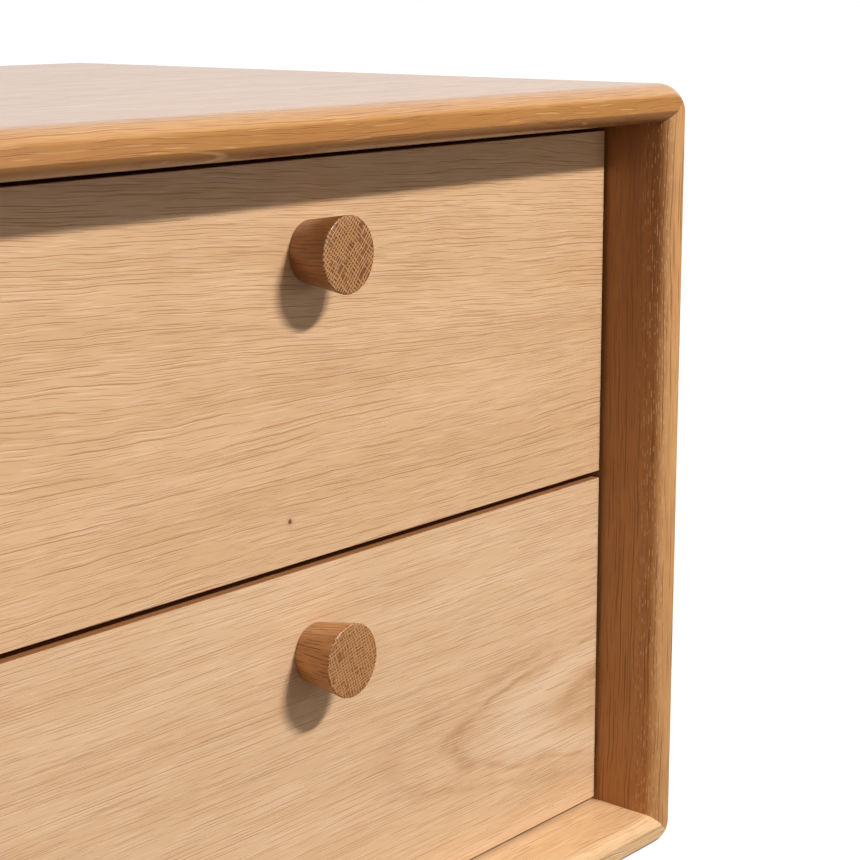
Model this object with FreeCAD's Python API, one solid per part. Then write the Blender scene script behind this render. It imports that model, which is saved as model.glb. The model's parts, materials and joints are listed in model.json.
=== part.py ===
import FreeCAD, Part
import math
import os

from FreeCAD import Placement, Rotation, Vector

# Two-drawer oak side table. Millimetres. +Z is up, the front faces -Y and +X is
# to the right as seen from the front. The origin is on the floor, at the centre
# of the case. Everything below is at rest, with both drawers closed.

# Case, a box of four mitred oak panels with an open front
case_width = 490.0
case_depth = 412.0
case_height = 391.0
panel_thickness = 21.0
long_edge_radius = 14.0
back_edge_radius = 2.0

# Front edge of the case panels, from the mouth outwards: a slightly flared inner
# face, a round nose, a narrow flat band and a round shoulder up to the outer face
front_recess = 35.5
mouth_flare_angle = 6.3
nose_radius = 9.0
nose_break_angle = 22.4
band_inset = 8.3
band_height = 6.6
band_lean = 0.4
shoulder_radius = 13.5

# Mitre dowels
dowel_diameter = 6.0
dowel_length = 20.0
dowel_inset = 8.0
dowels_per_corner = 6
dowel_end_margin = 45.0

# Back panel, in a rebate and held by screws
back_thickness = 6.0
rebate_width = 10.0
back_panel_clearance = 0.5
back_screw_length = 20.0
back_screws_per_side = 3
back_screw_margin = 60.0

# Legs, turned and tapered, each on a hanger bolt
leg_length = 156.0
leg_top_diameter = 44.0
leg_foot_diameter = 28.0
leg_inset = 64.0
leg_edge_radius = 1.5
glide_thickness = 3.0
glide_diameter = 22.0
glide_edge_radius = 0.75
glide_nail_diameter = 2.5
glide_nail_length = 12.0
bolt_diameter = 8.0
bolt_length_in_leg = 45.0
bolt_length_in_case = 12.0
insert_diameter = 12.0
insert_length = 13.0

# Drawer fronts, inset, one above the other
reveal = 2.1
front_gap = 3.5
upper_front_height = 170.2
front_thickness = 19.0
front_edge_radius = 0.5

# Knobs, turned cones, wider at the outer end
knob_end_diameter = 33.0
knob_base_diameter = 26.5
knob_length = 21.6
knob_rim_radius = 0.8
knob_drop = 38.3
knob_screw_diameter = 4.0
knob_screw_depth = 12.0
screw_hole_clearance = 0.25
washer_diameter = 11.0
washer_thickness = 1.0

# Drawer boxes, dovetailed
box_board = 12.0
box_height = 130.0
box_lift = 16.0
box_rear_clearance = 31.5
box_edge_radius = 2.0
bottom_thickness = 6.0
bottom_lift = 10.0
groove_depth = 6.0
tails_per_corner = 4
pin_width = 6.0
dovetail_slope = 7.0
front_screw_length = 26.0
front_screw_side_inset = 45.0
front_screw_edge_inset = 28.0

# Ball-bearing drawer slides, three members and two ball cages on each side
slide_stack = 12.7
slide_height = 45.5
slide_rear_inset = 19.0
slide_travel_loss = 10.0
slide_setback = 1.0
slide_steel = 1.2
slide_web_gap = 1.0
slide_lip = 1.1
cage_steel = 0.5
cage_end_margin = 22.5
ball_diameter = 4.0
ball_clearance = 0.05
race_depth = 0.4
race_gap = 3.3
cage_hole_clearance = 0.1
balls_per_row = 5
ball_pitch = 21.0
outer_flange = 9.5
middle_flange = 10.4
inner_flange = 8.1
outer_ball_offset = 5.2
inner_ball_offset = 8.0
outer_cage_offset = 1.45
inner_cage_offset = 3.75
cage_edge = 0.6
slide_screw_length = 11.0
slide_screws_per_member = 3
slide_screw_margin = 30.0

# Screws
wood_screw_diameter = 3.5
wood_screw_head_diameter = 7.0
pan_head_diameter = 8.0
pan_head_height = 2.4
driver_slot_width = 1.1
driver_slot_length = 4.4
driver_slot_depth = 1.3

# How far apart two places may be and still count as the same when edges are picked
near = 0.01

# Places that follow from the sizes above
inner_half_width = case_width / 2 - panel_thickness
case_bottom = glide_thickness + leg_length
case_top = case_bottom + case_height
case_centre_z = case_bottom + case_height / 2
mouth_bottom = case_bottom + panel_thickness
mouth_top = case_top - panel_thickness
nose_y = -case_depth / 2
back_y = case_depth / 2
face_y = nose_y + front_recess
back_panel_y = back_y - back_thickness
front_width = 2 * (inner_half_width - reveal)
lower_front_height = mouth_top - mouth_bottom - 2 * reveal - front_gap - upper_front_height
box_width = 2 * (inner_half_width - slide_stack)
box_y = face_y + front_thickness
box_length = back_panel_y - box_y - box_rear_clearance
slide_y = box_y + slide_setback
slide_length = box_length - slide_setback - slide_rear_inset
slide_travel = slide_length - slide_travel_loss
slide_z_in_box = box_height / 2

X = Vector(1, 0, 0)
Y = Vector(0, 1, 0)
Z = Vector(0, 0, 1)


def block(x0, x1, y0, y1, z0, z1):
    """A box between two corners."""
    return Part.makeBox(x1 - x0, y1 - y0, z1 - z0, Vector(x0, y0, z0))


def rod(diameter, length, foot, direction):
    """A cylinder from foot along direction."""
    return Part.makeCylinder(diameter / 2, length, foot, direction)


def group(solids):
    """Separate solids in one node."""
    return Part.makeCompound(solids)


def cut(shape, tools):
    """Shape less every tool."""
    return shape.cut(tools) if tools else shape


def spread(first, last, count):
    """Evenly spaced values from first to last."""
    step = (last - first) / (count - 1)
    return [first + step * i for i in range(count)]


def round_edges(shape, radius, wanted):
    """Fillet the edges for which wanted(edge) is true."""
    return shape.makeFillet(radius, [edge for edge in shape.Edges if wanted(edge)])


def runs_along(edge, axis):
    """True for a straight edge parallel to axis."""
    if edge.Curve.TypeId != "Part::GeomLine":
        return False
    return edge.tangentAt(edge.FirstParameter).cross(axis).Length < near


def is_circle(edge):
    """True for a circular edge."""
    return edge.Curve.TypeId == "Part::GeomCircle"


# Screws

def driver_slot(tip, direction):
    """The cross recess in a screw head whose top centre is tip."""
    across = X if abs(direction.dot(X)) < 0.5 else Y
    other = direction.cross(across)
    arms = []
    for along, side in ((across, other), (other, across)):
        corner = tip - along * (driver_slot_length / 2) - side * (driver_slot_width / 2)
        wire = Part.makePolygon([
            corner,
            corner + along * driver_slot_length,
            corner + along * driver_slot_length + side * driver_slot_width,
            corner + side * driver_slot_width,
            corner,
        ])
        arms.append(Part.Face(wire).extrude(direction * driver_slot_depth))
    return arms[0].fuse(arms[1])


def countersunk_screw(seat, direction, length, head_height):
    """A flat-headed wood screw whose head is flush at seat, with no recess."""
    head = Part.makeCone(
        wood_screw_head_diameter / 2, wood_screw_diameter / 2, head_height, seat, direction
    )
    return head.fuse(rod(wood_screw_diameter, length, seat, direction)).removeSplitter()


def pan_screw(seat, direction, length, diameter):
    """A round-headed screw whose head stands on seat; direction is into the work."""
    top = seat - direction * pan_head_height
    head = rod(pan_head_diameter, pan_head_height, top, direction)
    shank = rod(diameter, length, seat, direction)
    return head.fuse(shank).cut(driver_slot(top, direction))


# Case

def edge_section(reach):
    """The section of a case panel, in the YZ plane, whose outer face is at z = reach.

    t is measured outwards from the panel's inner face, and y from the nose.
    """
    flare = math.radians(mouth_flare_angle)
    break_angle = math.radians(nose_break_angle)
    nose_centre = (
        band_inset + nose_radius * math.sin(break_angle),
        nose_radius * math.cos(break_angle),
    )
    nose_start = (
        nose_centre[0] - nose_radius * math.cos(flare),
        nose_centre[1] - nose_radius * math.sin(flare),
    )
    middle_turn = (math.pi / 2 - break_angle + flare) / 2
    nose_middle = (
        nose_centre[0] - nose_radius * math.cos(middle_turn),
        nose_centre[1] - nose_radius * math.sin(middle_turn),
    )
    flare_start = (0.0, nose_start[1] + nose_start[0] / math.tan(flare))
    corner_y = band_lean * (panel_thickness - band_inset) / band_height

    def at(t, y):
        return Vector(0, nose_y + y, reach - panel_thickness + t)

    corners = {
        "inner_back": at(0, case_depth),
        "flare_start": at(*flare_start),
        "nose_start": at(*nose_start),
        "band_start": at(band_inset, 0),
        "outer_front": at(panel_thickness, corner_y),
        "outer_back": at(panel_thickness, case_depth),
    }
    edges = [
        Part.makeLine(corners["inner_back"], corners["flare_start"]),
        Part.makeLine(corners["flare_start"], corners["nose_start"]),
        Part.Arc(corners["nose_start"], at(*nose_middle), corners["band_start"]).toShape(),
        Part.makeLine(corners["band_start"], corners["outer_front"]),
        Part.makeLine(corners["outer_front"], corners["outer_back"]),
        Part.makeLine(corners["outer_back"], corners["inner_back"]),
    ]
    return Part.Face(Part.Wire(edges))


def mitred_board(reach, run):
    """A panel with its outer face up at z = reach and mitred ends at x = -run and run."""
    section = edge_section(reach)
    section.translate(Vector(-run, 0, 0))
    prism = section.extrude(Vector(2 * run, 0, 0))
    inner = panel_thickness
    outline = Part.makePolygon([
        Vector(-run, nose_y, reach),
        Vector(run, nose_y, reach),
        Vector(run - inner, nose_y, reach - inner),
        Vector(-run + inner, nose_y, reach - inner),
        Vector(-run, nose_y, reach),
    ])
    wedge = Part.Face(outline).extrude(Y * case_depth)
    return prism.common(wedge)


def turned(shape, degrees):
    """Shape turned about the case's middle line, which runs along Y."""
    turned_shape = shape.copy()
    turned_shape.Placement = Placement(
        Vector(0, 0, case_centre_z), Rotation(Y, degrees)
    ).multiply(turned_shape.Placement)
    return turned_shape


def case_boards():
    """The four mitred boards, before their outer edges are rounded."""
    half_width = case_width / 2
    half_height = case_height / 2
    return {
        "top_panel": turned(mitred_board(half_height, half_width), 0),
        "right_side_panel": turned(mitred_board(half_width, half_height), 90),
        "bottom_panel": turned(mitred_board(half_height, half_width), 180),
        "left_side_panel": turned(mitred_board(half_width, half_height), 270),
    }


def rounded_envelope():
    """The case's outer shape: its long edges, its shoulders and its back edges rounded.

    The shoulder is part of a quarter round that starts in front of the nose, so it
    meets the flat band in a crease where the band ends.
    """
    half = case_width / 2
    rise = band_inset + band_height - panel_thickness + shoulder_radius
    start_y = nose_y + band_lean + math.sqrt(shoulder_radius ** 2 - rise ** 2) - shoulder_radius
    body = block(-half, half, start_y, back_y, case_bottom, case_top)
    body = round_edges(body, long_edge_radius, lambda edge: runs_along(edge, Y))
    body = round_edges(body, shoulder_radius, lambda edge: edge.CenterOfMass.y < start_y + near)
    return round_edges(body, back_edge_radius, lambda edge: edge.CenterOfMass.y > back_y - near)


def back_rebate():
    """The space that is cut out of the panels for the back panel."""
    half = inner_half_width + rebate_width
    return block(
        -half, half, back_panel_y, back_y, mouth_bottom - rebate_width, mouth_top + rebate_width
    )


def back_panel_blank():
    """The back panel before its screw holes."""
    half = inner_half_width + rebate_width - back_panel_clearance
    margin = rebate_width - back_panel_clearance
    return block(-half, half, back_panel_y, back_y, mouth_bottom - margin, mouth_top + margin)


def back_screws():
    """Countersunk screws round the back panel, driven forwards into the rebate."""
    across = inner_half_width + rebate_width / 2
    low = mouth_bottom - rebate_width / 2
    high = mouth_top + rebate_width / 2
    xs = spread(-across + back_screw_margin, across - back_screw_margin, back_screws_per_side)
    zs = spread(low + back_screw_margin, high - back_screw_margin, back_screws_per_side)
    places = [(x, z) for x in xs for z in (low, high)]
    places += [(x, z) for x in (-across, across) for z in zs]
    head_height = (wood_screw_head_diameter - wood_screw_diameter) / 2
    return [
        countersunk_screw(Vector(x, back_y, z), -Y, back_screw_length, head_height)
        for x, z in places
    ]


def mitre_dowels():
    """Dowels across the four mitres, square to each mitre plane."""
    ys = spread(nose_y + dowel_end_margin, back_panel_y - dowel_end_margin, dowels_per_corner)
    dowels = []
    for side in (-1, 1):
        for end in (-1, 1):
            mouth_z = mouth_top if end > 0 else mouth_bottom
            centre_x = side * (inner_half_width + dowel_inset)
            centre_z = mouth_z + end * dowel_inset
            direction = Vector(side, 0, -end)
            direction.normalize()
            for y in ys:
                centre = Vector(centre_x, y, centre_z)
                foot = centre - direction * (dowel_length / 2)
                dowels.append(rod(dowel_diameter, dowel_length, foot, direction))
    return dowels


def leg_places():
    """The four leg centres, by name."""
    x = case_width / 2 - leg_inset
    y = case_depth / 2 - leg_inset
    return {
        "front_left": Vector(-x, -y, 0),
        "front_right": Vector(x, -y, 0),
        "rear_left": Vector(-x, y, 0),
        "rear_right": Vector(x, y, 0),
    }


def hanger_bolts():
    """One bolt per leg, half in the leg and half in the case."""
    return [
        rod(
            bolt_diameter,
            bolt_length_in_leg + bolt_length_in_case,
            place + Z * (case_bottom - bolt_length_in_leg),
            Z,
        )
        for place in leg_places().values()
    ]


def insert_sleeves():
    """The outer shape of the threaded inserts in the bottom panel."""
    return [
        rod(insert_diameter, insert_length, place + Z * case_bottom, Z)
        for place in leg_places().values()
    ]


def leg(place):
    """A tapered leg, wide at the top, with its two rims rounded."""
    blank = Part.makeCone(
        leg_foot_diameter / 2, leg_top_diameter / 2, leg_length, place + Z * glide_thickness, Z
    )
    return round_edges(blank, leg_edge_radius, is_circle)


def glide(place):
    """A round glide with its nail, under a leg."""
    pad = rod(glide_diameter, glide_thickness, place, Z)
    pad = round_edges(
        pad, glide_edge_radius, lambda edge: is_circle(edge) and edge.CenterOfMass.z < near
    )
    nail = rod(glide_nail_diameter, glide_nail_length, place + Z * glide_thickness, Z)
    return pad.fuse(nail).removeSplitter()


# Slides. Offsets across the slide are measured from the case side inwards, and
# heights from the slide's centre line. The middle member moves half as far as the
# drawer, so what it shares with its neighbours at full travel sets the cages.

outer_half = slide_height / 2
outer_inside = outer_half - slide_steel
outer_ball_height = outer_inside + race_depth - ball_clearance - ball_diameter / 2
middle_half = outer_inside - race_gap
middle_inside = middle_half - slide_steel
inner_ball_height = middle_inside + race_depth - ball_clearance - ball_diameter / 2
inner_half = middle_inside - race_gap
middle_web_offset = slide_steel + slide_web_gap
inner_web_offset = slide_stack - slide_steel
cage_length = slide_length - slide_travel / 2 - 2 * cage_end_margin
cage_y = slide_y + (slide_length - cage_length) / 2


def slide_block(side, centre_z, x0, x1, z0, z1, y0=slide_y, y1=slide_y + slide_length):
    """A box in slide offsets, on the left (side -1) or right (side 1) of the case."""
    xs = sorted((side * (inner_half_width - x0), side * (inner_half_width - x1)))
    return block(xs[0], xs[1], y0, y1, centre_z + z0, centre_z + z1)


def slide_groove(side, centre_z, offset, height):
    """The round groove that a row of balls runs in."""
    foot = Vector(side * (inner_half_width - offset), slide_y, centre_z + height)
    return rod(ball_diameter + 2 * ball_clearance, slide_length, foot, Y)


def channel(side, centre_z, web, flange, half, lip=0.0):
    """A C section: a web between two offsets, and a flange above and below."""
    parts = [slide_block(side, centre_z, web[0], web[1], -half, half)]
    for up in (-1, 1):
        low, high = sorted((up * (half - slide_steel), up * half))
        parts.append(slide_block(side, centre_z, flange[0], flange[1], low, high))
        if lip:
            low, high = sorted((up * (half - slide_steel - lip), up * half))
            parts.append(
                slide_block(side, centre_z, flange[1] - slide_steel, flange[1], low, high)
            )
    return parts[0].fuse(parts[1:]).removeSplitter()


def slide_screw_ys():
    """Screw places along a slide."""
    return spread(
        slide_y + slide_screw_margin,
        slide_y + slide_length - slide_screw_margin,
        slide_screws_per_member,
    )


def cabinet_member_screws(side, centre_z):
    """Screws from the cabinet member into the case side."""
    x = side * (inner_half_width - slide_steel)
    return [
        countersunk_screw(Vector(x, y, centre_z), X * side, slide_screw_length, slide_steel)
        for y in slide_screw_ys()
    ]


def drawer_member_screws(side, centre_z):
    """Screws from the drawer member into the drawer side."""
    x = side * (inner_half_width - inner_web_offset)
    return [
        countersunk_screw(Vector(x, y, centre_z), -X * side, slide_screw_length, slide_steel)
        for y in slide_screw_ys()
    ]


def cabinet_member(side, centre_z):
    """The outer member, on the case side."""
    member = channel(
        side, centre_z, (0, slide_steel), (0, outer_flange), outer_half, slide_lip
    )
    grooves = [
        slide_groove(side, centre_z, outer_ball_offset, up * outer_ball_height) for up in (-1, 1)
    ]
    return cut(member, grooves + cabinet_member_screws(side, centre_z))


def middle_member(side, centre_z):
    """The middle member, which moves at half the drawer's speed."""
    member = channel(
        side,
        centre_z,
        (middle_web_offset, middle_web_offset + slide_steel),
        (middle_web_offset, middle_flange),
        middle_half,
    )
    grooves = []
    for up in (-1, 1):
        grooves.append(slide_groove(side, centre_z, outer_ball_offset, up * outer_ball_height))
        grooves.append(slide_groove(side, centre_z, inner_ball_offset, up * inner_ball_height))
    return cut(member, grooves)


def drawer_member(side, centre_z):
    """The inner member, on the drawer side, open towards the case."""
    member = channel(
        side,
        centre_z,
        (inner_web_offset, slide_stack),
        (slide_stack - inner_flange, slide_stack),
        inner_half,
    )
    grooves = [
        slide_groove(side, centre_z, inner_ball_offset, up * inner_ball_height) for up in (-1, 1)
    ]
    return cut(member, grooves + drawer_member_screws(side, centre_z))


def ball_centres(side, centre_z, offset, height):
    """The centres of one cage's balls, above and below."""
    x = side * (inner_half_width - offset)
    middle = slide_y + slide_length / 2
    reach = ball_pitch * (balls_per_row - 1) / 2
    return [
        Vector(x, y, centre_z + up * height)
        for up in (-1, 1)
        for y in spread(middle - reach, middle + reach, balls_per_row)
    ]


def ball_cage(side, centre_z, web_offset, ball_offset, height):
    """A sheet-steel U that spaces the balls of one pair of races."""
    edge = ball_offset + ball_diameter / 2 + cage_hole_clearance + cage_edge
    half = height + cage_steel / 2
    y1 = cage_y + cage_length
    cage = slide_block(
        side, centre_z, web_offset, web_offset + cage_steel, -half, half, cage_y, y1
    )
    for up in (-1, 1):
        low, high = sorted((up * (half - cage_steel), up * half))
        cage = cage.fuse(slide_block(side, centre_z, web_offset, edge, low, high, cage_y, y1))
    holes = [
        rod(
            ball_diameter + 2 * cage_hole_clearance,
            ball_diameter,
            centre - Z * (ball_diameter / 2),
            Z,
        )
        for centre in ball_centres(side, centre_z, ball_offset, height)
    ]
    return cut(cage.removeSplitter(), holes)


def balls(side, centre_z, offset, height):
    """The balls of one cage."""
    return [
        Part.makeSphere(ball_diameter / 2, centre)
        for centre in ball_centres(side, centre_z, offset, height)
    ]


# Drawers

def front_panel_blank(base, height):
    """A drawer front with its front edges and corners eased."""
    half = front_width / 2
    panel = block(-half, half, face_y, face_y + front_thickness, base, base + height)
    return round_edges(panel, front_edge_radius, lambda edge: edge.CenterOfMass.y < face_y + near)


def knob_centre(front_top):
    """Where the knob's axis meets the drawer front."""
    return Vector(0, face_y, front_top - knob_drop)


def knob_blank(front_top):
    """A cone, wider at its outer end, with its outer rim rounded."""
    outer = knob_centre(front_top) - Y * knob_length
    cone = Part.makeCone(knob_end_diameter / 2, knob_base_diameter / 2, knob_length, outer, Y)
    return round_edges(
        cone,
        knob_rim_radius,
        lambda edge: is_circle(edge) and edge.CenterOfMass.y < outer.y + near,
    )


def knob_screw(front_top):
    """The machine screw from inside the drawer into the knob."""
    seat = knob_centre(front_top) + Y * (front_thickness + box_board + washer_thickness)
    length = knob_screw_depth + front_thickness + box_board + washer_thickness
    return pan_screw(seat, -Y, length, knob_screw_diameter)


def knob_screw_hole(front_top):
    """The clearance hole for the knob's screw."""
    foot = knob_centre(front_top)
    return rod(
        knob_screw_diameter + 2 * screw_hole_clearance, front_thickness + box_board, foot, Y
    )


def knob_washer(front_top):
    """The washer under the knob screw's head."""
    foot = knob_centre(front_top) + Y * (front_thickness + box_board)
    disc = rod(washer_diameter, washer_thickness, foot, Y)
    hole = rod(knob_screw_diameter + 2 * screw_hole_clearance, washer_thickness, foot, Y)
    return disc.cut(hole)


def front_screws(base):
    """Screws from inside the box front into the drawer front."""
    x = box_width / 2 - front_screw_side_inset
    low = base + box_lift + front_screw_edge_inset
    high = base + box_lift + box_height - front_screw_edge_inset
    seat_y = box_y + box_board
    return [
        pan_screw(Vector(side * x, seat_y, z), -Y, front_screw_length, wood_screw_diameter)
        for side in (-1, 1)
        for z in (low, high)
    ]


def dovetail_pins(side, outer_y, inner_y, z0):
    """The pins that pass through a drawer side; they narrow towards outer_y."""
    narrow = pin_width / 2
    wide = narrow + abs(inner_y - outer_y) / dovetail_slope
    x0 = side * (box_width / 2 - box_board)
    pins = []
    for z in spread(z0, z0 + box_height, tails_per_corner + 1):
        outline = Part.makePolygon([
            Vector(x0, outer_y, z - narrow),
            Vector(x0, outer_y, z + narrow),
            Vector(x0, inner_y, z + wide),
            Vector(x0, inner_y, z - wide),
            Vector(x0, outer_y, z - narrow),
        ])
        pins.append(Part.Face(outline).extrude(X * (side * box_board)))
    slab = block(-box_width, box_width, box_y, box_y + box_length, z0, z0 + box_height)
    return [pin.common(slab) for pin in pins]


def box_bottom(base):
    """The drawer's bottom board, as far as the ends of its grooves."""
    half = box_width / 2 - box_board + groove_depth
    z0 = base + box_lift + bottom_lift
    y0 = box_y + box_board - groove_depth
    y1 = box_y + box_length - box_board + groove_depth
    return block(-half, half, y0, y1, z0, z0 + bottom_thickness)


def box_end(base, outer_y, inner_y):
    """The box's front or back board, with a pin at each end for every socket."""
    z0 = base + box_lift
    half = box_width / 2 - box_board
    low, high = sorted((outer_y, inner_y))
    board = block(-half, half, low, high, z0, z0 + box_height)
    pins = dovetail_pins(-1, outer_y, inner_y, z0) + dovetail_pins(1, outer_y, inner_y, z0)
    return board.fuse(pins).removeSplitter().cut(box_bottom(base))


def box_side(base, side):
    """A drawer side with sockets at both ends, a groove and a rounded top edge."""
    z0 = base + box_lift
    xs = sorted((side * box_width / 2, side * (box_width / 2 - box_board)))
    y1 = box_y + box_length
    board = block(xs[0], xs[1], box_y, y1, z0, z0 + box_height)
    top = z0 + box_height
    inside = (box_y + box_board, y1 - box_board)
    board = board.cut(block(xs[0], xs[1], *inside, top - box_edge_radius, top))
    rail = round_edges(
        block(xs[0], xs[1], *inside, top - 2 * box_edge_radius, top),
        box_edge_radius,
        lambda edge: runs_along(edge, Y) and edge.CenterOfMass.z > top - near,
    )
    board = board.fuse(rail).removeSplitter()
    sockets = dovetail_pins(side, box_y, box_y + box_board, z0)
    sockets += dovetail_pins(side, y1, y1 - box_board, z0)
    return board.cut(sockets + [box_bottom(base)])


# Nodes

def case_nodes():
    """Every piece that stays still, apart from the slides."""
    envelope = rounded_envelope()
    dowels = mitre_dowels()
    screws = back_screws()
    bolts = hanger_bolts()
    sleeves = insert_sleeves()
    slide_screws = []
    for base, height in drawer_fronts().values():
        centre_z = base + box_lift + slide_z_in_box
        for side in (-1, 1):
            slide_screws += cabinet_member_screws(side, centre_z)
    nodes = {}
    for name, board in case_boards().items():
        panel = board.common(envelope)
        nodes[name] = cut(panel, [back_rebate()] + dowels + screws + sleeves + slide_screws)
    nodes["back_panel"] = cut(back_panel_blank(), screws)
    nodes["mitre_dowels"] = group(dowels)
    nodes["back_panel_screws"] = group(screws)
    nodes["cabinet_member_screws"] = group(slide_screws)
    nodes["hanger_bolts"] = group(bolts)
    nodes["threaded_inserts"] = group([cut(sleeve, bolts) for sleeve in sleeves])
    glides = []
    for name, place in leg_places().items():
        glides.append(glide(place))
        nodes[name + "_leg"] = cut(leg(place), bolts + [glides[-1]])
    nodes["leg_glides"] = group(glides)
    return nodes


def drawer_fronts():
    """The bottom edge and the height of each drawer front."""
    low = mouth_bottom + reveal
    return {
        "lower": (low, lower_front_height),
        "upper": (low + lower_front_height + front_gap, upper_front_height),
    }


def drawer_nodes(base, height):
    """One drawer, with its slides."""
    front_top = base + height
    z0 = base + box_lift
    y1 = box_y + box_length
    centre_z = z0 + slide_z_in_box
    screws = front_screws(base)
    hole = knob_screw_hole(front_top)
    screw = knob_screw(front_top)
    nodes = {
        "drawer_front": cut(front_panel_blank(base, height), screws + [hole]),
        "knob": knob_blank(front_top).cut(screw),
        "knob_screw": screw,
        "knob_washer": knob_washer(front_top),
        "front_screws": group(screws),
        "box_front": cut(box_end(base, box_y, box_y + box_board), screws + [hole]),
        "box_back": box_end(base, y1, y1 - box_board),
        "box_bottom": box_bottom(base),
    }
    member_screws = []
    cages = {"outer": [], "inner": []}
    races = {"outer": [], "inner": []}
    for side, hand in ((-1, "left"), (1, "right")):
        own_screws = drawer_member_screws(side, centre_z)
        member_screws += own_screws
        nodes[hand + "_box_side"] = cut(box_side(base, side), own_screws)
        nodes[hand + "_cabinet_member"] = cabinet_member(side, centre_z)
        nodes[hand + "_middle_member"] = middle_member(side, centre_z)
        nodes[hand + "_drawer_member"] = drawer_member(side, centre_z)
        for pair, cage_offset, ball_offset, height in (
            ("outer", outer_cage_offset, outer_ball_offset, outer_ball_height),
            ("inner", inner_cage_offset, inner_ball_offset, inner_ball_height),
        ):
            cages[pair].append(ball_cage(side, centre_z, cage_offset, ball_offset, height))
            races[pair] += balls(side, centre_z, ball_offset, height)
    nodes["member_screws"] = group(member_screws)
    for pair in ("outer", "inner"):
        nodes[pair + "_ball_cages"] = group(cages[pair])
        nodes[pair + "_balls"] = group(races[pair])
    return nodes


def main():
    nodes = case_nodes()
    for name, (base, height) in drawer_fronts().items():
        for piece, shape in drawer_nodes(base, height).items():
            nodes[name + "_" + piece] = shape
    os.makedirs("parts", exist_ok=True)
    for name, shape in nodes.items():
        shape.exportStep(os.path.join("parts", name + ".step"))
    print(len(nodes), "nodes")


main()
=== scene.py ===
import json
import math

import bmesh
import bpy
from mathutils import Matrix, Vector


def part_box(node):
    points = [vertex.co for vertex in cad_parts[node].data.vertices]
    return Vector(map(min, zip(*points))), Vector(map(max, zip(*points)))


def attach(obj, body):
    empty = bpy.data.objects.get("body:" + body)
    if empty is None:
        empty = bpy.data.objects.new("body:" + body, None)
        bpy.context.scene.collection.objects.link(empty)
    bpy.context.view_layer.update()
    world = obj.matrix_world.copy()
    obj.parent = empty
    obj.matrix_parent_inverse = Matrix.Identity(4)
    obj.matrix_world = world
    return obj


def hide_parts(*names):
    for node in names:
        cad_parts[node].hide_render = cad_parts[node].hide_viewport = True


# Two-drawer oak side table, in metres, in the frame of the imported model: +Z is up and
# the front faces -Y.

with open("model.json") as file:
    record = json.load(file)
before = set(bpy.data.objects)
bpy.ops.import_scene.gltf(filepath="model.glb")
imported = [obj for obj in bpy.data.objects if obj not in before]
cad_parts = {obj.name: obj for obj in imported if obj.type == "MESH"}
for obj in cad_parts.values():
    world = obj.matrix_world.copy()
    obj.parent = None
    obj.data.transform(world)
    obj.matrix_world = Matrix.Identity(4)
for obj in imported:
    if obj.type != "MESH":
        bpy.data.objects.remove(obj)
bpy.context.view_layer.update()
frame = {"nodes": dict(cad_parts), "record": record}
scene = bpy.context.scene
scene.view_settings.view_transform = "Standard"
nodes = frame["nodes"]
body_of_node = {
    node: body
    for body, members in frame["record"]["behaviour"]["bodies"].items()
    for node in members
}
slot_of_node = {part["node"]: part["material_slot"] for part in frame["record"]["subparts"]}
front_face_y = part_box("upper_drawer_front")[0].y


# Wood tones: light wood, dark wood, open pore, pale ray

front_tones = ((0.81, 0.555, 0.335), (0.69, 0.435, 0.232), (0.46, 0.220, 0.088), (0.93, 0.74, 0.52))
lower_tones = ((0.84, 0.605, 0.385), (0.73, 0.485, 0.278), (0.49, 0.250, 0.107), (0.94, 0.76, 0.55))
top_tones = ((0.56, 0.275, 0.070), (0.45, 0.192, 0.040), (0.28, 0.100, 0.020), (0.66, 0.39, 0.145))
bottom_tones = ((0.86, 0.590, 0.340), (0.68, 0.420, 0.205), (0.44, 0.210, 0.085), (0.93, 0.72, 0.50))
side_tones = ((0.58, 0.270, 0.086), (0.385, 0.155, 0.041), (0.21, 0.071, 0.018), (0.72, 0.46, 0.25))
knob_tones = ((0.35, 0.138, 0.036), (0.26, 0.096, 0.023), (0.12, 0.038, 0.009), (0.52, 0.260, 0.095))
light_knob_tones = (
    (0.55, 0.255, 0.080), (0.42, 0.182, 0.053), (0.13, 0.041, 0.010), (0.53, 0.255, 0.096)
)
birch_tones = ((0.76, 0.59, 0.41), (0.68, 0.50, 0.33), (0.56, 0.38, 0.23), (0.80, 0.65, 0.48))
beech_tones = ((0.70, 0.47, 0.31), (0.62, 0.39, 0.24), (0.45, 0.26, 0.14), (0.75, 0.54, 0.38))
# The core behind the veneer of the drawer fronts: light wood, dark wood. Its darker tone on the fronts'
# edges is partly the wood's own and partly painted shade in the gaps round the fronts.
core_and_gap_shade_tones = ((0.42, 0.190, 0.075), (0.36, 0.150, 0.055))

# Layers of short lines in the grain: kind, spacing of rows, width, length, share of each
# row that is line, strength, and the zone across the board, or None for all of it. A zone
# says where a layer fades in from and to and, with four values, where it fades out again.

fine_pores = ("pore", 0.0019, 0.00042, 0.040, 0.55, 0.75, None)
faint_pores = ("pore", 0.0011, 0.00030, 0.022, 0.50, 0.50, None)
pale_rays = ("pale", 0.0016, 0.00040, 0.026, 0.40, 0.55, None)
fleck_zone = (-0.188, -0.197, -0.2040, -0.2056)
pale_flecks = ("pale", 0.0011, 0.00042, 0.0045, 0.48, 0.75, fleck_zone)
case_layers = (fine_pores, faint_pores, pale_rays)
side_layers = (fine_pores, faint_pores, pale_flecks)
box_layers = (("pore", 0.0014, 0.0003, 0.008, 0.3, 0.35, None),)
upper_layers = (
    ("pore", 0.0018, 0.00042, 0.046, 0.60, 0.80, (0.415, 0.455)),
    ("pore", 0.0036, 0.00046, 0.060, 0.62, 0.85, (0.470, 0.430)),
    ("pore", 0.0010, 0.00030, 0.026, 0.58, 0.55, None),
    ("pale", 0.0017, 0.00060, 0.030, 0.50, 0.38, None),
)
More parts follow.
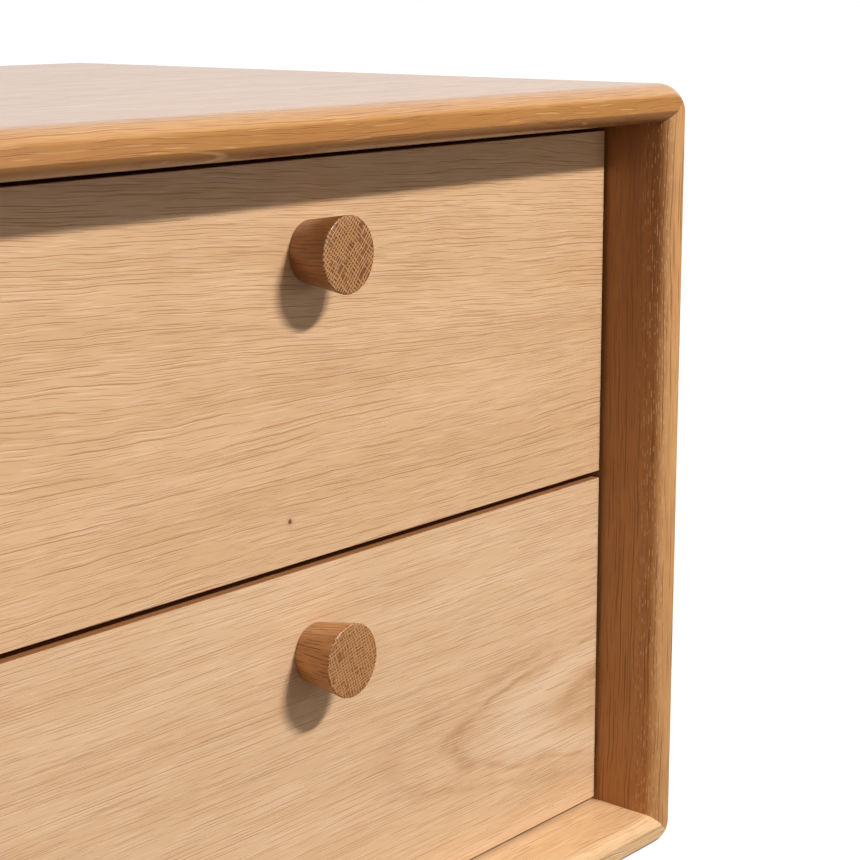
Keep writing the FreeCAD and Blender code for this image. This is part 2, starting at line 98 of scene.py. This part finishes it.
lower_layers = (
    ("pore", 0.00125, 0.00034, 0.048, 0.58, 0.62, None),
    ("pore", 0.0027, 0.00040, 0.034, 0.45, 0.66, None),
    ("pale", 0.0014, 0.00050, 0.026, 0.52, 0.50, None),
)


# Shader building

# The range that the values of a noise mostly fill
noise_range = (0.30, 0.70)
# The colour sockets of a Mix node: two inputs and the result
mix_a, mix_b, mix_result = 6, 7, 2


class Graph:
    """A node tree, with short calls for the nodes that are used here."""

    def __init__(self, owner):
        owner.use_nodes = True
        self.tree = owner.node_tree
        self.tree.nodes.clear()

    def node(self, kind, inputs=None, **settings):
        made = self.tree.nodes.new(kind)
        for key, value in settings.items():
            setattr(made, key, value)
        for key, value in (inputs or {}).items():
            self.feed(made.inputs[key], value)
        return made

    def feed(self, socket, value):
        if isinstance(value, bpy.types.NodeSocket):
            self.tree.links.new(value, socket)
        else:
            socket.default_value = value

    def math(self, operation, *values):
        made = self.node("ShaderNodeMath", operation=operation)
        for socket, value in zip(made.inputs, values):
            self.feed(socket, value)
        return made.outputs[0]

    def vector(self, x, y, z):
        return self.node("ShaderNodeCombineXYZ", {"X": x, "Y": y, "Z": z}).outputs[0]

    def split(self, vector):
        return self.node("ShaderNodeSeparateXYZ", {"Vector": vector}).outputs

    def place(self):
        """The point in the model's frame at rest, which rides with the piece."""
        return self.node("ShaderNodeTexCoord").outputs["Object"]

    def noise(self, vector, scale=1.0, detail=2.0, roughness=0.5):
        return self.node(
            "ShaderNodeTexNoise",
            {"Vector": vector, "Scale": scale, "Detail": detail, "Roughness": roughness},
        ).outputs["Fac"]

    def step(self, value, low, high, out_low=0.0, out_high=1.0):
        """Smooth step from out_low to out_high as value goes from low to high."""
        return self.node(
            "ShaderNodeMapRange",
            {"Value": value, "From Min": low, "From Max": high,
             "To Min": out_low, "To Max": out_high},
            interpolation_type="SMOOTHSTEP",
        ).outputs["Result"]

    def mix(self, factor, a, b, blend="MIX"):
        made = self.node("ShaderNodeMix", data_type="RGBA", blend_type=blend)
        self.feed(made.inputs[0], factor)
        for number, value in ((mix_a, a), (mix_b, b)):
            self.feed(made.inputs[number], (*value, 1.0) if isinstance(value, tuple) else value)
        return made.outputs[mix_result]


class Surface(Graph):
    """A new material with one surface shader."""

    def __init__(self, name):
        self.material = bpy.data.materials.new(name)
        super().__init__(self.material)
        self.shader = self.node("ShaderNodeBsdfPrincipled")
        self.output = self.node(
            "ShaderNodeOutputMaterial", {"Surface": self.shader.outputs["BSDF"]}
        )

    def coat(self, weight, roughness):
        self.shader.inputs["Coat Weight"].default_value = weight
        self.shader.inputs["Coat Roughness"].default_value = roughness

    def finish(self, colour, roughness, height=None, bump=0.0001, metallic=0.0):
        colour = (*colour, 1.0) if isinstance(colour, tuple) else colour
        self.feed(self.shader.inputs["Base Color"], colour)
        self.feed(self.shader.inputs["Roughness"], roughness)
        self.shader.inputs["Metallic"].default_value = metallic
        if height is not None:
            made = self.node(
                "ShaderNodeBump", {"Height": height, "Strength": 1.0, "Distance": bump}
            )
            self.tree.links.new(made.outputs["Normal"], self.shader.inputs["Normal"])
        return self.material


def board_axes(g, along, across):
    """(along the grain, across it on the main face, into the board) as three sockets."""
    xyz = dict(zip("XYZ", g.split(g.place())))
    depth = ({"X", "Y", "Z"} - {along, across}).pop()
    return xyz[along], xyz[across], xyz[depth]


def streaks(g, places, per_metre, seed, detail=2.0, roughness=0.5):
    """Noise over three places, each with its own count of waves to the metre."""
    first = g.math("MULTIPLY_ADD", places[0], per_metre[0], seed)
    second = g.math("MULTIPLY", places[1], per_metre[1])
    third = g.math("MULTIPLY", places[2], per_metre[2])
    return g.noise(g.vector(first, second, third), detail=detail, roughness=roughness)


def bend(g, run, side, depth, per_run, per_side, height, seed):
    """A smooth noise shift of the grain, up to about height either way."""
    waves = streaks(g, (run, side, depth), (per_run, per_side, per_side), seed, detail=1.0)
    return g.math("MULTIPLY", g.math("SUBTRACT", waves, 0.5), 3.0 * height)


def near(g, value, centre, width):
    """1 where value is centre, falling to 0 at width away."""
    return g.step(g.math("ABSOLUTE", g.math("SUBTRACT", value, centre)), width, 0.0)


def dashes(g, run, row, spacing, width, length, share, seed):
    """Open pores in rows: short lines along run that taper at both ends, one row to
    each spacing of row. share is about how much of each row is line."""
    clear_widths = 2.4      # line widths kept free at both sides of a row together
    noise_per_row = 7.31    # how far apart two rows lie in the noise
    fade = 0.16             # how much more noise takes a line to its full width
    place = g.math("DIVIDE", row, spacing)
    cell = g.math("FLOOR", place)
    chance = g.node("ShaderNodeTexWhiteNoise", {"W": g.math("ADD", cell, seed)},
                    noise_dimensions="1D").outputs["Value"]
    free = 1.0 - clear_widths * width / spacing
    centre = g.math("MULTIPLY_ADD", g.math("SUBTRACT", chance, 0.5), free, 0.5)
    away = g.math("ABSOLUTE", g.math("SUBTRACT", g.math("SUBTRACT", place, cell), centre))
    point = g.vector(g.math("DIVIDE", run, length),
                     g.math("MULTIPLY_ADD", cell, noise_per_row, seed), 0.0)
    strength = g.node("ShaderNodeTexNoise",
                      {"Vector": point, "Scale": 1.0, "Detail": 1.0, "Roughness": 0.45},
                      noise_dimensions="2D").outputs["Fac"]
    start = 0.70 - 0.40 * share
    half = g.step(strength, start, start + fade, 0.0, width / spacing / 2)
    ratio = g.math("DIVIDE", away, g.math("MAXIMUM", half, 0.0001))
    return g.step(ratio, 1.25, 0.45)


# Board oak

wood_roughness = 0.45
oak_coat_roughness = 0.24
oak_bump = 0.00006


def ring_radius(g, run, side, depth, heart, wave, ripple, lean, seed):
    """The bent distance from the heart of the tree, which numbers the growth rings."""
    from_heart = g.math("SUBTRACT", side, heart[0])
    below = g.math("SUBTRACT", depth, heart[1])
    radius = g.math("SQRT", g.math("ADD", g.math("MULTIPLY", from_heart, from_heart),
                                   g.math("MULTIPLY", below, below)))
    radius = g.math("ADD", radius, bend(g, run, side, depth, 6.0, 16.0, wave, seed))
    radius = g.math("ADD", radius, bend(g, run, side, depth, 38.0, 90.0, ripple, seed + 5.0))
    if lean:
        start, full, slope = lean
        leaning = g.step(side, start, full, 0.0, slope)
        radius = g.math("MULTIPLY_ADD", leaning, run, radius)
    return radius


def line_mask(g, run, side, radius, shape, zone, seed):
    """Where one layer of lines shows, within its zone across the board."""
    mask = dashes(g, run, radius, *shape, seed)
    if zone:
        mask = g.math("MULTIPLY", mask, g.step(side, zone[0], zone[1]))
    if zone and len(zone) > 2:
        mask = g.math("MULTIPLY", mask, g.step(side, zone[3], zone[2]))
    return mask


def oak(name, along, across, tones, seed, heart, layers, wave=0.003, ripple=0.0006, sheen=0.3,
        figure=None, veneer_face=None, lean=None):
    """Oiled wood in tones. Growth rings lie round a line along the grain at heart (across
    the board, into the board), wave and ripple bend them, and sheen is the coat's weight.
    figure adds marks of one board's own, or painted shade and painted light. veneer_face is
    the depth of a veneered face, with the core's tones behind it, which also paint shade into
    the gaps. lean is (where it starts across the board, where it is full, slope of the grain)."""
    light, dark, pore, pale = tones
    g = Surface(name)
    run, side, depth = board_axes(g, along, across)
    radius = ring_radius(g, run, side, depth, heart, wave, ripple, lean, seed)
    bands = streaks(g, (run, radius, 0.0), (3.0, 70.0, 0.0), seed, detail=3.0, roughness=0.55)
    cloud = streaks(g, (run, side, depth), (10.0, 26.0, 26.0), seed)
    fibre = streaks(g, (run, radius, depth), (90.0, 1500.0, 400.0), seed, detail=1.0, roughness=0.6)
    tone = g.math("ADD", g.step(bands, *noise_range, 0.0, 0.5), g.step(cloud, 0.32, 0.68, 0.0, 0.25))
    tone = g.math("ADD", tone, g.step(fibre, *noise_range, 0.0, 0.25))
    colour = g.mix(tone, light, dark)
    if figure:
        colour = figure(g, run, side, depth, colour)
    open_pores = 0.0
    for number, (kind, *shape, strength, zone) in enumerate(layers):
        mask = line_mask(g, run, side, radius, shape, zone, seed + 11.7 * number)
        line_tone = pore if kind == "pore" else pale
        colour = g.mix(g.math("MULTIPLY", mask, strength), colour, line_tone)
        if kind == "pore":
            open_pores = g.math("MAXIMUM", open_pores, mask)
    if veneer_face is not None:
        # Partly painted shade: the fronts' edges behind the veneer take the core's darker tones, which
        # darken the gaps.
        core = g.step(depth, veneer_face - 0.0001, veneer_face + 0.0002)
        colour = g.mix(core, colour, g.mix(tone, *core_and_gap_shade_tones))
    height = g.math("SUBTRACT", g.math("MULTIPLY", fibre, 0.3), open_pores)
    rough = g.math("MULTIPLY_ADD", fibre, 0.16, wood_roughness - 0.08)
    rough = g.math("MULTIPLY_ADD", open_pores, 0.15, rough)
    g.coat(sheen, oak_coat_roughness)
    return g.finish(colour, rough, height, oak_bump)


# Marks of single boards, and painted shade and painted light on the top and side panels: each takes the
# board's axes and colour, and gives a new colour

def top_tone_and_painted_shade(g, run, side, depth, colour):
    """The top panel is browner below its shoulder, and darker still under its nose, which is painted
    shade where little light reaches the underside.
    """
    colour = g.mix(g.step(depth, 0.5445, 0.5425), colour, (0.86, 0.80, 0.80), "MULTIPLY")
    # Painted shade: darkens the nose's underside, below the flat band.
    return g.mix(g.step(depth, 0.5390, 0.5340), colour, (0.66, 0.62, 0.60), "MULTIPLY")


def side_painted_shade_and_light(g, run, side, depth, colour):
    """The side panels are darker and browner towards the top on their inner faces, which is painted
    shade under the top panel, and paler on the flat band and the shoulder in front, which is painted
    light where the lamp falls on them."""
    band_back, band_front = -0.1985, -0.2045
    behind_band = g.step(side, band_front, band_back)
    inner_face = g.step(g.math("ABSOLUTE", depth), 0.233, 0.228)
    inner = g.math("MULTIPLY", behind_band, inner_face)
    # Painted shade: the upper inner faces are darkened under the top panel.
    upper = g.math("MULTIPLY", g.step(run, 0.24, 0.52), inner)
    colour = g.mix(upper, colour, (0.665, 0.56, 0.42), "MULTIPLY")
    # Painted light: the lit flat band and shoulder in front are made paler.
    return g.mix(g.step(side, band_back, band_front), colour, (1.20, 1.38, 1.75), "MULTIPLY")


def pin_knot(g, run, side, depth, colour):
    """A small dark knot with a smoky edge in the upper drawer front."""
    knot_x, knot_z = -0.0148, 0.3757
    smoke_radius = 0.0045
    offset = g.vector(g.math("SUBTRACT", run, knot_x), g.math("SUBTRACT", side, knot_z), 0.0)
    away = g.node("ShaderNodeVectorMath", {0: offset}, operation="LENGTH").outputs["Value"]
    colour = g.mix(g.step(away, smoke_radius, 0.0, 0.0, 0.35), colour, front_tones[2])
    return g.mix(g.step(away, 0.0016, 0.0007, 0.0, 0.95), colour, (0.06, 0.022, 0.008))


def cathedral(g, run, side, depth, colour):
    """Nested arches of smoky and pale wood that open to the right, in the lower front."""
    tip_x, tip_z = 0.095, 0.2443
    axis_slope = 0.045
    spread = 0.0085
    smoke_tone = (0.50, 0.295, 0.150)
    from_tip = g.math("SUBTRACT", run, tip_x)
    ripple = bend(g, run, side, 0.0, 30.0, 55.0, 0.004, 2.0)
    off_axis = g.math("ADD", g.math("SUBTRACT", side, tip_z),
                      g.math("MULTIPLY_ADD", from_tip, axis_slope, ripple))
    curve = g.math("DIVIDE", g.math("MULTIPLY", off_axis, off_axis), spread)
    inside = g.math("SUBTRACT", from_tip, curve)
    smoke = g.noise(g.vector(g.math("MULTIPLY", run, 40.0), g.math("MULTIPLY", side, 70.0), 0.0),
                    detail=3.0)
    arches = g.math("MAXIMUM", near(g, inside, 0.004, 0.015), near(g, inside, 0.108, 0.024))
    outer_arch = g.math("MULTIPLY", near(g, inside, -0.052, 0.026), 0.6)
    arches = g.math("MAXIMUM", arches, outer_arch)
    here = g.math("MULTIPLY", g.step(side, 0.300, 0.268), g.step(run, 0.0, 0.07))
    smoky = g.math("MULTIPLY", g.math("MULTIPLY", arches, here), g.step(smoke, 0.35, 0.62, 0.2, 0.72))
    pale = g.math("MULTIPLY", near(g, inside, 0.055, 0.045), g.math("MULTIPLY", here, 0.55))
    colour = g.mix(pale, colour, front_tones[3])
    return g.mix(smoky, colour, smoke_tone)


# Turned oak

def end_grain(g, u, v, base, pore, pale, seed):
    """The end of a knob: pale rays and rings cross over dark cells. Gives the cells, the
    lines and the colour."""
    cells = g.noise(g.vector(g.math("MULTIPLY", u, 1100.0), g.math("MULTIPLY", v, 1100.0), seed),
                    detail=1.0)
    colour = g.mix(g.step(cells, 0.40, 0.60, 0.30, 0.90), base, pore)
    rays = dashes(g, u, v, 0.00140, 0.00058, 0.012, 0.95, seed)
    rings = dashes(g, v, u, 0.00165, 0.00060, 0.009, 0.92, seed + 3.0)
    weave = g.math("MAXIMUM", rays, rings)
    return cells, weave, g.mix(g.math("MULTIPLY", weave, 0.92), colour, pale)


def barrel_grain(g, x, y, z, base, pore, seed):
    """The barrel of a knob: pores along the long grain. Gives the lines and the colour."""
    mean_radius = 0.0155
    around = g.math("MULTIPLY", g.math("ARCTAN2", z, x), mean_radius)
    around = g.math("ADD", around, bend(g, y, x, z, 50.0, 60.0, 0.0006, seed))
    lines = dashes(g, y, around, 0.0017, 0.0005, 0.016, 0.75, seed)
    fine = dashes(g, y, around, 0.0009, 0.0003, 0.008, 0.5, seed + 9.0)
    dark = g.math("MAXIMUM", g.math("MULTIPLY", lines, 0.8), g.math("MULTIPLY", fine, 0.5))
    return lines, g.mix(dark, base, pore)


def turned_oak(name, tones, centre, end_y, turn, seed):
    """Oak turned about a line along Y through centre, with its end at end_y. turn is the
    angle of the rays on the end."""
    light, dark, pore, pale = tones
    cos, sin = math.cos(turn), math.sin(turn)
    g = Surface(name)
    x, y, z = g.split(g.place())
    x = g.math("SUBTRACT", x, centre[0])
    z = g.math("SUBTRACT", z, centre[1])
    shift = bend(g, x, z, y, 75.0, 75.0, 0.0008, seed)
    u = g.math("MULTIPLY_ADD", x, cos, g.math("MULTIPLY_ADD", z, sin, shift))
    v = g.math("MULTIPLY_ADD", z, cos, g.math("MULTIPLY_ADD", x, -sin, shift))
    bands = g.noise(g.vector(g.math("MULTIPLY", u, 300.0), g.math("MULTIPLY", v, 60.0),
                             g.math("MULTIPLY_ADD", y, 30.0, seed)), detail=3.0)
    base = g.mix(g.step(bands, *noise_range), light, dark)
    cells, weave, end = end_grain(g, u, v, base, pore, pale, seed)
    lines, barrel = barrel_grain(g, x, y, z, base, pore, seed)
    on_end = g.step(y, end_y + 0.0010, end_y + 0.0004)
    height = g.math("MULTIPLY", on_end, g.math("SUBTRACT", weave, cells))
    height = g.math("SUBTRACT", height, g.math("MULTIPLY", lines, 0.6))
    g.coat(0.4, 0.22)
    rough = g.math("MULTIPLY_ADD", cells, 0.2, 0.36)
    return g.finish(g.mix(on_end, barrel, end), rough, height, 0.00008)


def knob_place(node):
    """Where a knob's axis is, across and up, and where its outer end is."""
    low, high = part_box(node)
    return ((low.x + high.x) / 2, (low.z + high.z) / 2), low.y


# Metal and plastic

def shaded(colour, factor):
    return tuple(min(part * factor, 1.0) for part in colour)


def metal(name, colour, roughness, along):
    """Plated sheet steel with rolling lines along one axis and faint blotches."""
    per_metre_along, per_metre_across = 30.0, 2600.0
    g = Surface(name)
    xyz = dict(zip("XYZ", g.split(g.place())))
    scaled = [
        g.math("MULTIPLY", xyz[axis], per_metre_along if axis == along else per_metre_across)
        for axis in "XYZ"
    ]
    lines = g.noise(g.vector(*scaled), detail=2.0)
    cloud = g.noise(g.place(), scale=55.0, detail=4.0)
    tone = g.math("ADD", g.math("MULTIPLY", lines, 0.5), g.math("MULTIPLY", cloud, 0.5))
    colour = g.mix(g.step(tone, *noise_range), shaded(colour, 0.82), shaded(colour, 1.1))
    rough = g.step(tone, *noise_range, roughness - 0.06, roughness + 0.08)
    return g.finish(colour, rough, lines, 0.00001, metallic=1.0)


def plastic(name, colour):
    """Moulded plastic with a fine grain."""
    g = Surface(name)
    grain = g.noise(g.place(), scale=2600.0, detail=2.0)
    cloud = g.noise(g.place(), scale=120.0, detail=2.0)
    colour = g.mix(cloud, shaded(colour, 0.85), shaded(colour, 1.15))
    return g.finish(colour, g.step(grain, *noise_range, 0.42, 0.55), grain, 0.00003)


materials = {
    "oak_top": oak("oak_top", "X", "Y", top_tones, seed=3.1, heart=(-0.7, 0.05),
                   layers=case_layers, sheen=0.8, figure=top_tone_and_painted_shade),
    "oak_bottom": oak("oak_bottom", "X", "Y", bottom_tones, seed=5.7, heart=(-0.7, -0.33),
                      layers=case_layers),
    "oak_sides": oak("oak_sides", "Z", "Y", side_tones, seed=1.9, heart=(-0.7, 0.724),
                     layers=side_layers, sheen=0.1, figure=side_painted_shade_and_light),
    "oak_left_side": oak("oak_left_side", "Z", "Y", side_tones, seed=2.7, heart=(-0.7, -0.724),
                         layers=side_layers, sheen=0.3, figure=side_painted_shade_and_light),
    "oak_legs": oak("oak_legs", "Z", "X", top_tones, seed=8.2, heart=(0.03, 0.6),
                    layers=case_layers),
    "oak_back": oak("oak_back", "Z", "X", front_tones, seed=4.4, heart=(0.7, 0.1),
                    layers=case_layers),
    "oak_upper_front": oak("oak_upper_front", "X", "Z", front_tones, seed=2.3, heart=(-0.6, 0.1),
                           layers=upper_layers, wave=0.0026, ripple=0.00070, sheen=0.1,
                           figure=pin_knot, veneer_face=front_face_y,
                           lean=(0.405, 0.455, 0.065)),
    "oak_lower_front": oak("oak_lower_front", "X", "Z", lower_tones, seed=6.6, heart=(-0.8, 0.1),
                           layers=lower_layers, wave=0.0015, ripple=0.0002, sheen=0.1,
                           figure=cathedral, veneer_face=front_face_y),
    "upper_knob_oak": turned_oak("upper_knob_oak", knob_tones, *knob_place("upper_knob"),
                                 turn=0.85, seed=1.3),
    "lower_knob_oak": turned_oak("lower_knob_oak", light_knob_tones, *knob_place("lower_knob"),
                                 turn=0.30, seed=4.1),
    "birch_drawer_boxes": oak("birch_drawer_boxes", "X", "Z", birch_tones, seed=7.3,
                              heart=(0.5, 0.1), layers=box_layers),
    "birch_box_sides": oak("birch_box_sides", "Y", "Z", birch_tones, seed=9.3,
                           heart=(0.6, 0.1), layers=box_layers),
    "beech_dowels": oak("beech_dowels", "Y", "Z", beech_tones, seed=1.1, heart=(0.6, 0.1),
                        layers=box_layers),
    "zinc_slides": metal("zinc_slides", (0.56, 0.57, 0.58), 0.34, "Y"),
    "steel_cages": metal("steel_cages", (0.46, 0.46, 0.47), 0.30, "Y"),
    "bearing_balls": metal("bearing_balls", (0.72, 0.72, 0.74), 0.12, "X"),
    "zinc_screws": metal("zinc_screws", (0.60, 0.60, 0.58), 0.30, "Y"),
    "brass_inserts": metal("brass_inserts", (0.71, 0.53, 0.23), 0.28, "Z"),
    "plastic_glides": plastic("plastic_glides", (0.09, 0.075, 0.06)),
}


def material_for(node):
    """The slot's material, or one of a piece's own where its slot holds several looks."""
    if node == "left_side_panel":
        return materials["oak_left_side"]
    if node in ("upper_drawer_front", "lower_drawer_front"):
        return materials["oak_" + node.replace("_drawer_front", "_front")]
    if node in ("upper_knob", "lower_knob"):
        return materials[node + "_oak"]
    if node.endswith("_box_side"):
        return materials["birch_box_sides"]
    return materials[slot_of_node[node]]


# Pieces

# Edges that turn by more than this, in radians, are sharp
sharp_angle = 0.6


def shown_piece(name, mesh, node, material):
    """Adds mesh as a piece that stands for a CAD node and rides with it."""
    piece = bpy.data.objects.new(name, mesh)
    scene.collection.objects.link(piece)
    piece.data.materials.append(material)
    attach(piece, body_of_node[node])
    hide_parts(node)
    return piece


def eased_mesh(node, width):
    """The node's own shape, welded, with its long sharp edges broken by width."""
    weld, flat_angle, long_edge = 1e-6, 0.004, 0.004
    source = nodes[node].data
    mesh = bpy.data.meshes.new(node + "_eased")
    mesh.from_pydata([v.co[:] for v in source.vertices], [],
                     [p.vertices[:] for p in source.polygons])
    work = bmesh.new()
    work.from_mesh(mesh)
    bmesh.ops.remove_doubles(work, verts=work.verts, dist=weld)
    bmesh.ops.dissolve_limit(work, angle_limit=flat_angle, verts=work.verts, edges=work.edges)
    sharp = [
        e for e in work.edges
        if e.is_manifold and e.calc_face_angle() > sharp_angle and e.calc_length() > long_edge
    ]
    bmesh.ops.bevel(work, geom=sharp, offset=width, offset_type="OFFSET", segments=2,
                    profile=0.5, affect="EDGES", clamp_overlap=True)
    bmesh.ops.recalc_face_normals(work, faces=work.faces)
    work.to_mesh(mesh)
    work.free()
    for polygon in mesh.polygons:
        polygon.use_smooth = True
    mesh.set_sharp_from_angle(angle=sharp_angle)
    return mesh


def eased(node, width):
    """A wooden piece that is shaded smooth round its eased edges and flat on its faces."""
    piece = shown_piece(node + "_wood", eased_mesh(node, width), node, material_for(node))
    weighted = piece.modifiers.new("weighted", "WEIGHTED_NORMAL")
    weighted.keep_sharp = True
    weighted.weight = 100


def lathe(node, profile, centre, axis, turns=128):
    """A turned piece: profile is (distance along axis, radius) from one end to the other."""
    weld = 1e-7
    side = Vector((1, 0, 0)) if abs(axis.x) < 0.5 else Vector((0, 0, 1))
    other = axis.cross(side)
    points, faces = [], []
    for along, radius in profile:
        for k in range(turns):
            angle = 2 * math.pi * k / turns
            outward = side * math.cos(angle) + other * math.sin(angle)
            points.append(centre + axis * along + outward * radius)
    for i in range(len(profile) - 1):
        for k in range(turns):
            n = (k + 1) % turns
            faces.append((i * turns + k, i * turns + n, (i + 1) * turns + n, (i + 1) * turns + k))
    mesh = bpy.data.meshes.new(node + "_turned")
    mesh.from_pydata([p[:] for p in points], [], faces)
    work = bmesh.new()
    work.from_mesh(mesh)
    bmesh.ops.remove_doubles(work, verts=work.verts, dist=weld)
    for face in work.faces:
        face.smooth = True
    bmesh.ops.recalc_face_normals(work, faces=work.faces)
    work.to_mesh(mesh)
    work.free()
    mesh.set_sharp_from_angle(angle=sharp_angle)
    shown_piece(node + "_turned", mesh, node, material_for(node))


def rim(along, radius, rounding, start, stop, steps=6):
    """Points of a rounded rim about (along, radius), from one angle to the other."""
    return [
        (along + rounding * math.cos(start + (stop - start) * i / steps),
         radius + rounding * math.sin(start + (stop - start) * i / steps))
        for i in range(steps + 1)
    ]


def knob(node):
    """A cone, wider at its outer end, with a flat end and a rounded rim."""
    low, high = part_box(node)
    centre = Vector(((low.x + high.x) / 2, high.y, (low.z + high.z) / 2))
    length = high.y - low.y
    wide = (high.x - low.x) / 2
    narrow = 0.01325
    chamfer = 0.0003
    rounding = 0.0008
    profile = [(0.0, 0.0), (0.0, narrow - chamfer), (chamfer, narrow)]
    profile += rim(length - rounding, wide - rounding, rounding, math.pi / 2, 0.0)
    profile += [(length, wide * 0.6), (length, 0.0)]
    lathe(node, profile, centre, Vector((0, -1, 0)))


def leg(node):
    """A tapered leg with a rounded rim at the top and at the foot."""
    low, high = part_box(node)
    centre = Vector(((low.x + high.x) / 2, (low.y + high.y) / 2, low.z))
    length = high.z - low.z
    wide = (high.x - low.x) / 2
    foot = 0.014
    rounding = 0.0015
    profile = [(0.0, 0.0)] + rim(rounding, foot - rounding, rounding, math.pi, math.pi / 2)
    profile += rim(length - rounding, wide - rounding, rounding, math.pi / 2, 0.0)
    profile += [(length, 0.0)]
    lathe(node, profile, centre, Vector((0, 0, 1)))


for name in ("top_panel", "right_side_panel", "bottom_panel", "left_side_panel", "back_panel",
             "upper_drawer_front", "lower_drawer_front"):
    eased(name, 0.0002)
for name in [node for node in nodes if "_box_" in node]:
    eased(name, 0.0004)
for name in ("upper_knob", "lower_knob"):
    knob(name)
for name in ("front_left_leg", "front_right_leg", "rear_left_leg", "rear_right_leg"):
    leg(name)
# The CAD nodes that no piece stands for are shown themselves, in their slot's material
for name, thing in nodes.items():
    if thing.hide_render:
        continue
    thing.data.materials.clear()
    thing.data.materials.append(material_for(name))


# Camera, as the photograph was taken

def place_camera():
    """The photograph's camera: a level turn, a tilt down, a slight roll and a shifted
    frame."""
    yaw, pitch, roll = math.radians(53.268), math.radians(13.003), math.radians(0.167)
    forward = Vector((math.sin(yaw) * math.cos(pitch), math.cos(yaw) * math.cos(pitch),
                      -math.sin(pitch)))
    level_right = Vector((math.cos(yaw), -math.sin(yaw), 0))
    level_up = level_right.cross(forward)
    right = level_right * math.cos(roll) + level_up * math.sin(roll)
    up = level_up * math.cos(roll) - level_right * math.sin(roll)
    camera_data = bpy.data.cameras.new("camera")
    camera_data.sensor_width = 36.0
    camera_data.lens = 94.197
    camera_data.shift_x = -0.0422
    camera_data.shift_y = 0.0763
    camera_data.clip_start = 0.01
    camera = bpy.data.objects.new("camera", camera_data)
    scene.collection.objects.link(camera)
    turn = Matrix((right, up, -forward)).transposed().to_4x4()
    camera.matrix_world = Matrix.Translation(Vector((-0.7093, -0.7815, 0.6002))) @ turn
    scene.camera = camera


place_camera()


# Light

white = (1.0, 1.0, 1.0)


def strip_light(name, towards, distance, width, height, power, aim, colour=white):
    """A rectangular lamp that shines on aim from the direction towards."""
    lamp_data = bpy.data.lights.new(name, "AREA")
    lamp_data.shape = "RECTANGLE"
    lamp_data.size = width
    lamp_data.size_y = height
    lamp_data.energy = power
    lamp_data.color = colour
    lamp = bpy.data.objects.new(name, lamp_data)
    scene.collection.objects.link(lamp)
    direction = Vector(towards).normalized()
    lamp.location = Vector(aim) + direction * distance
    lamp.rotation_euler = direction.to_track_quat("Z", "Y").to_euler()


strip_light("key", (0.21, -1.0, 0.83), 2.6, 0.58, 0.12, 74.0, (0.0, -0.17, 0.4), (1.0, 0.98, 0.95))
strip_light("fill", (-0.72, -0.72, 0.34), 2.4, 1.7, 2.0, 7.0, (0.1, -0.17, 0.36))
strip_light("low_fill", (0.35, -1.0, 0.14), 2.4, 1.2, 0.5, 5.5, (0.0, -0.17, 0.36))


def build_world():
    """A studio that is brighter behind the table, warm where it lights the wood, and
    white where it is seen or reflected."""
    all_round = 0.09
    bright_from_behind = 0.30
    extra_in_reflections = 0.65
    world = bpy.data.worlds.new("studio")
    scene.world = world
    g = Graph(world)
    path = g.node("ShaderNodeLightPath")
    seen = path.outputs["Is Camera Ray"]
    glossy = g.math("MAXIMUM", path.outputs["Is Glossy Ray"], path.outputs["Is Transmission Ray"])
    towards = g.node("ShaderNodeTexCoord").outputs["Generated"]
    bright_side = g.node("ShaderNodeVectorMath", {0: towards, 1: (0.35, 0.75, 0.55)},
                         operation="DOT_PRODUCT").outputs["Value"]
    bright = g.step(bright_side, 0.05, 0.45)
    from_behind = g.math("MULTIPLY_ADD", glossy, extra_in_reflections, bright_from_behind)
    strength = g.math("ADD", all_round, g.math("MULTIPLY", bright, from_behind))
    strength = g.math("MAXIMUM", strength, seen)
    sky = g.node("ShaderNodeBackground", {"Strength": strength, "Color": (*white, 1.0)})
    ambient = g.node("ShaderNodeBackground", {"Strength": strength, "Color": (1.0, 0.90, 0.80, 1.0)})
    choose = g.node("ShaderNodeMixShader", {0: g.math("MAXIMUM", glossy, seen),
                                            1: ambient.outputs[0], 2: sky.outputs[0]})
    g.node("ShaderNodeOutputWorld", {"Surface": choose.outputs[0]})


build_world()


# Floor

def floor_material():
    """A pale floor that glows white for the camera, and for reflections of what lies
    behind the table. It glows less round the table, so that the shadow shows."""
    shadow_centre = (-0.25, 0.25, 0.0)
    shadow_reach, glow_start = 0.45, 0.80
    glow_in_shadow = 0.70
    g = Surface("pale_floor")
    grain = g.noise(g.place(), scale=300.0, detail=2.0)
    g.finish((0.13, 0.12, 0.11), 0.9, grain, 0.0001)
    path = g.node("ShaderNodeLightPath")
    behind = g.step(g.split(g.place())["Y"], 0.0, 1.2)
    shown = g.math("MAXIMUM", path.outputs["Is Camera Ray"],
                   g.math("MULTIPLY", path.outputs["Is Glossy Ray"], behind))
    from_shadow = g.node("ShaderNodeVectorMath", {0: g.place(), 1: shadow_centre},
                         operation="DISTANCE").outputs["Value"]
    level = g.step(from_shadow, shadow_reach, glow_start, glow_in_shadow, 1.0)
    glow = g.node("ShaderNodeEmission", {"Strength": g.math("MULTIPLY", shown, level)})
    both = g.node("ShaderNodeAddShader", {0: g.shader.outputs[0], 1: glow.outputs[0]})
    g.tree.links.new(both.outputs[0], g.output.inputs["Surface"])
    return g.material


reach = 40.0
floor_mesh = bpy.data.meshes.new("floor")
floor_mesh.from_pydata([(-reach, -reach, 0), (reach, -reach, 0), (reach, reach, 0), (-reach, reach, 0)],
                       [], [(0, 1, 2, 3)])
floor = bpy.data.objects.new("floor", floor_mesh)
scene.collection.objects.link(floor)
floor_mesh.materials.append(floor_material())
